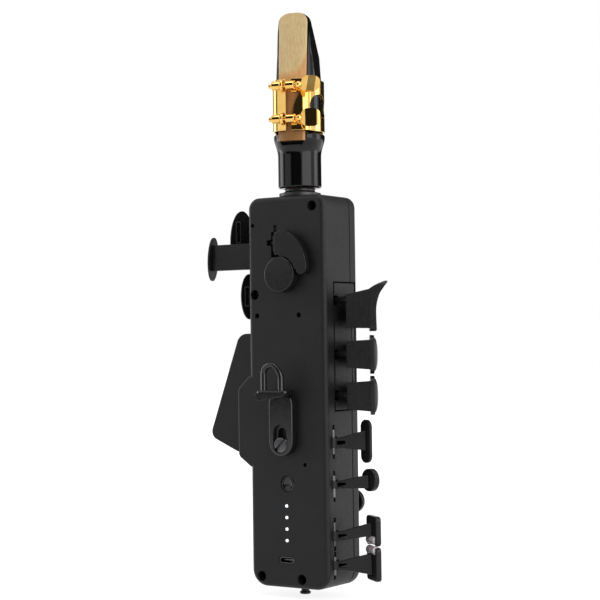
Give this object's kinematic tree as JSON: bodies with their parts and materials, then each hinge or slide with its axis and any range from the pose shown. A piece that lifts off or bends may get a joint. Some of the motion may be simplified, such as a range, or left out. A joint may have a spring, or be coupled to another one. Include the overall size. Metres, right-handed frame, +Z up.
{
  "type": "digital wind controller",
  "caption": "Handheld electronic wind controller: slim upright casing with saxophone-style keys, reed mouthpiece with ligature, octave key, thumb rest and sliding strap hook.",
  "frame": {"origin": "centre of the strap ring's eye on the thumb hook, at rest", "axes": "+Z up along the casing towards the mouthpiece, +X to the player's right, +Y from the player to the front of the instrument"},
  "size_m": [0.114, 0.0511, 0.2968],
  "materials": {
    "casing_black": "fine matte texture",
    "key_black": "satin moulded",
    "hook_black": "gloss black paint",
    "mouthpiece_black": "polished hard rubber look",
    "collar_grey": "satin",
    "cork": "natural cork",
    "reed_cane": "shaved cane",
    "gold": "polished gold lacquer",
    "steel": "ground",
    "screw_black": "black oxide",
    "pearl": "pearl",
    "board_green": "solder mask",
    "battery_silver": "foil wrap",
    "silicone": "clear silicone",
    "light_white": "light guide"
  },
  "bodies": {
    "casing": {"back_shell": "casing_black", "front_shell": "casing_black", "drain_plug": "casing_black", "side_key_bed": "casing_black", "palm_key_bed": "casing_black", "table_plate": "casing_black", "case_screw_top": "screw_black", "case_screw_bottom_left": "screw_black", "case_screw_bottom_right": "screw_black", "case_screw_left": "screw_black", "thumb_hook_screw": "screw_black", "thumb_rest": "key_black", "neck_collar": "collar_grey", "pressure_sensor": "collar_grey", "neck_cork": "cork", "usb_c_socket": "steel", "octave_axle": "steel", "side_key_rod": "steel", "palm_key_rod": "steel", "table_rod": "steel", "stack_rod": "steel", "side_key_high_f_sharp_pin": "steel", "side_key_alt_f_sharp_pin": "steel", "pinky_key_e_flat_pin": "steel", "pinky_key_low_c_pin": "steel", "mainboard": "board_green", "battery": "battery_silver", "breath_tube": "silicone", "status_light_guide": "light_white"},
    "side_key_high_e_body": {"side_key_high_e": "key_black"},
    "side_key_c_body": {"side_key_c": "key_black"},
    "side_key_b_flat_body": {"side_key_b_flat": "key_black"},
    "palm_key_d_body": {"palm_key_d": "key_black"},
    "palm_key_e_flat_body": {"palm_key_e_flat": "key_black"},
    "palm_key_f_body": {"palm_key_f": "key_black"},
    "side_key_high_f_sharp_body": {"side_key_high_f_sharp": "key_black"},
    "side_key_alt_f_sharp_body": {"side_key_alt_f_sharp": "key_black"},
    "pinky_key_e_flat_body": {"pinky_key_e_flat": "key_black"},
    "pinky_key_low_c_body": {"pinky_key_low_c": "key_black"},
    "table_key_low_b_flat_body": {"table_key_low_b_flat": "key_black"},
    "table_key_low_b_body": {"table_key_low_b": "key_black"},
    "table_key_low_c_sharp_body": {"table_key_low_c_sharp": "key_black"},
    "table_key_g_sharp_body": {"table_key_g_sharp": "key_black"},
    "main_key_d_body": {"main_key_d": "key_black"},
    "main_key_e_body": {"main_key_e": "key_black"},
    "main_key_f_body": {"main_key_f": "key_black"},
    "main_key_g_body": {"main_key_g": "key_black"},
    "main_key_a_body": {"main_key_a": "key_black"},
    "main_key_bis_body": {"main_key_bis": "key_black"},
    "main_key_b_body": {"main_key_b": "key_black"},
    "octave_key_body": {"octave_key": "key_black"},
    "power_button_body": {"power_button": "hook_black"},
    "thumb_hook_body": {"thumb_hook": "hook_black"},
    "ligature_screw_lower_body": {"ligature_screw_lower": "gold"},
    "ligature_screw_upper_body": {"ligature_screw_upper": "gold"},
    "pinky_key_e_flat_roller_body": {"pinky_key_e_flat_roller": "pearl"},
    "pinky_key_low_c_roller_body": {"pinky_key_low_c_roller": "pearl"},
    "mouthpiece_body": {"mouthpiece": "mouthpiece_black", "reed": "reed_cane", "ligature_band": "gold"}
  },
  "joints": [
    {"name": "side_key_high_e_press", "type": "hinge", "parent": "casing", "child": "side_key_high_e_body", "pos_m": [0.0243, 0.037, 0.03259], "axis": [0, 0, -1], "range_deg": [0, 7], "stiffness_Nm_per_rad": 0.06, "springref_deg": -5.73},
    {"name": "side_key_c_press", "type": "hinge", "parent": "casing", "child": "side_key_c_body", "pos_m": [0.0243, 0.037, 0.01199], "axis": [0, 0, -1], "range_deg": [0, 7], "stiffness_Nm_per_rad": 0.06, "springref_deg": -5.73},
    {"name": "side_key_b_flat_press", "type": "hinge", "parent": "casing", "child": "side_key_b_flat_body", "pos_m": [0.0243, 0.037, -0.00861], "axis": [0, 0, -1], "range_deg": [0, 7], "stiffness_Nm_per_rad": 0.06, "springref_deg": -5.73},
    {"name": "palm_key_d_press", "type": "hinge", "parent": "casing", "child": "palm_key_d_body", "pos_m": [-0.0213, 0.037, 0.06339], "axis": [0, 0, 1], "range_deg": [0, 5], "stiffness_Nm_per_rad": 0.06, "springref_deg": -5.73},
    {"name": "palm_key_e_flat_press", "type": "hinge", "parent": "casing", "child": "palm_key_e_flat_body", "pos_m": [-0.0213, 0.037, 0.07699], "axis": [0, 0, 1], "range_deg": [0, 5], "stiffness_Nm_per_rad": 0.06, "springref_deg": -5.73},
    {"name": "palm_key_f_press", "type": "hinge", "parent": "casing", "child": "palm_key_f_body", "pos_m": [-0.0213, 0.037, 0.04219], "axis": [0, 0, 1], "range_deg": [0, 5], "stiffness_Nm_per_rad": 0.06, "springref_deg": -5.73},
    {"name": "side_key_high_f_sharp_press", "type": "hinge", "parent": "casing", "child": "side_key_high_f_sharp_body", "pos_m": [0.0245, 0.0172, -0.03166], "axis": [0, 0, -1], "range_deg": [0, 7], "stiffness_Nm_per_rad": 0.06, "springref_deg": -5.73},
    {"name": "side_key_alt_f_sharp_press", "type": "hinge", "parent": "casing", "child": "side_key_alt_f_sharp_body", "pos_m": [0.0245, 0.0172, -0.05386], "axis": [0, 0, -1], "range_deg": [0, 7], "stiffness_Nm_per_rad": 0.06, "springref_deg": -5.73},
    {"name": "pinky_key_e_flat_press", "type": "hinge", "parent": "casing", "child": "pinky_key_e_flat_body", "pos_m": [0.0245, 0.0172, -0.07766], "axis": [0, 0, -1], "range_deg": [0, 7], "stiffness_Nm_per_rad": 0.06, "springref_deg": -5.73},
    {"name": "pinky_key_low_c_press", "type": "hinge", "parent": "casing", "child": "pinky_key_low_c_body", "pos_m": [0.0245, 0.0172, -0.09341], "axis": [0, 0, -1], "range_deg": [0, 7], "stiffness_Nm_per_rad": 0.06, "springref_deg": -5.73},
    {"name": "table_key_low_b_flat_press", "type": "hinge", "parent": "casing", "child": "table_key_low_b_flat_body", "pos_m": [-0.0249, 0.0377, -0.02901], "axis": [0, 0, 1], "range_deg": [0, 5], "stiffness_Nm_per_rad": 0.06, "springref_deg": -5.73},
    {"name": "table_key_low_b_press", "type": "hinge", "parent": "casing", "child": "table_key_low_b_body", "pos_m": [-0.0249, 0.0377, -0.01591], "axis": [0, 0, 1], "range_deg": [0, 5], "stiffness_Nm_per_rad": 0.06, "springref_deg": -5.73},
    {"name": "table_key_low_c_sharp_press", "type": "hinge", "parent": "casing", "child": "table_key_low_c_sharp_body", "pos_m": [-0.0249, 0.0377, -0.00291], "axis": [0, 0, 1], "range_deg": [0, 5], "stiffness_Nm_per_rad": 0.06, "springref_deg": -5.73},
    {"name": "table_key_g_sharp_press", "type": "hinge", "parent": "casing", "child": "table_key_g_sharp_body", "pos_m": [-0.0249, 0.0377, 0.01099], "axis": [0, 0, 1], "range_deg": [0, 5], "stiffness_Nm_per_rad": 0.06, "springref_deg": -5.73},
    {"name": "main_key_d_press", "type": "hinge", "parent": "casing", "child": "main_key_d_body", "pos_m": [-0.0105, 0.0461, -0.06391], "axis": [0, 0, -1], "range_deg": [0, 6], "stiffness_Nm_per_rad": 0.06, "springref_deg": -5.73},
    {"name": "main_key_e_press", "type": "hinge", "parent": "casing", "child": "main_key_e_body", "pos_m": [-0.0105, 0.0461, -0.03941], "axis": [0, 0, -1], "range_deg": [0, 6], "stiffness_Nm_per_rad": 0.06, "springref_deg": -5.73},
    {"name": "main_key_f_press", "type": "hinge", "parent": "casing", "child": "main_key_f_body", "pos_m": [-0.0105, 0.0461, -0.01491], "axis": [0, 0, -1], "range_deg": [0, 6], "stiffness_Nm_per_rad": 0.06, "springref_deg": -5.73},
    {"name": "main_key_g_press", "type": "hinge", "parent": "casing", "child": "main_key_g_body", "pos_m": [-0.0105, 0.0461, 0.01859], "axis": [0, 0, -1], "range_deg": [0, 6], "stiffness_Nm_per_rad": 0.06, "springref_deg": -5.73},
    {"name": "main_key_a_press", "type": "hinge", "parent": "casing", "child": "main_key_a_body", "pos_m": [-0.0105, 0.0461, 0.04159], "axis": [0, 0, -1], "range_deg": [0, 6], "stiffness_Nm_per_rad": 0.06, "springref_deg": -5.73},
    {"name": "main_key_bis_press", "type": "hinge", "parent": "casing", "child": "main_key_bis_body", "pos_m": [-0.0105, 0.0461, 0.05409], "axis": [0, 0, -1], "range_deg": [0, 6], "stiffness_Nm_per_rad": 0.06, "springref_deg": -5.73},
    {"name": "main_key_b_press", "type": "hinge", "parent": "casing", "child": "main_key_b_body", "pos_m": [-0.0105, 0.0461, 0.06609], "axis": [0, 0, -1], "range_deg": [0, 6], "stiffness_Nm_per_rad": 0.06, "springref_deg": -5.73},
    {"name": "octave_key_press", "type": "hinge", "parent": "casing", "child": "octave_key_body", "pos_m": [-0.0047, 0.01185, 0.06859], "axis": [0, 0, 1], "range_deg": [0, 3.5], "stiffness_Nm_per_rad": 0.06, "springref_deg": -5.73},
    {"name": "power_button_press", "type": "slide", "parent": "casing", "child": "power_button_body", "axis": [0, 1, 0], "range_m": [0, 0.0006], "stiffness_N_per_m": 1500, "springref_m": -0.0003},
    {"name": "thumb_hook_slide", "type": "slide", "parent": "casing", "child": "thumb_hook_body", "axis": [0, 0, 1], "range_m": [-0.006, 0]},
    {"name": "mouthpiece_slide", "type": "slide", "parent": "casing", "child": "mouthpiece_body", "axis": [0, 0, 1], "range_m": [0, 0.012]},
    {"name": "ligature_screw_lower_turn", "type": "hinge", "parent": "mouthpiece_body", "child": "ligature_screw_lower_body", "pos_m": [0.00602, 0.00675, 0.13099], "axis": [0.9709, 0.2394, 0], "range_deg": [-180, 180]},
    {"name": "ligature_screw_upper_turn", "type": "hinge", "parent": "mouthpiece_body", "child": "ligature_screw_upper_body", "pos_m": [0.00602, 0.00675, 0.14779], "axis": [0.9709, 0.2394, 0], "range_deg": [-180, 180]},
    {"name": "pinky_key_e_flat_roller_turn", "type": "hinge", "parent": "pinky_key_e_flat_body", "child": "pinky_key_e_flat_roller_body", "pos_m": [0.04083, 0.02742, -0.08061], "axis": [0.788, -0.6157, 0], "continuous": true},
    {"name": "pinky_key_low_c_roller_turn", "type": "hinge", "parent": "pinky_key_low_c_body", "child": "pinky_key_low_c_roller_body", "pos_m": [0.04083, 0.02742, -0.08561], "axis": [0.788, -0.6157, 0], "continuous": true}
  ]
}
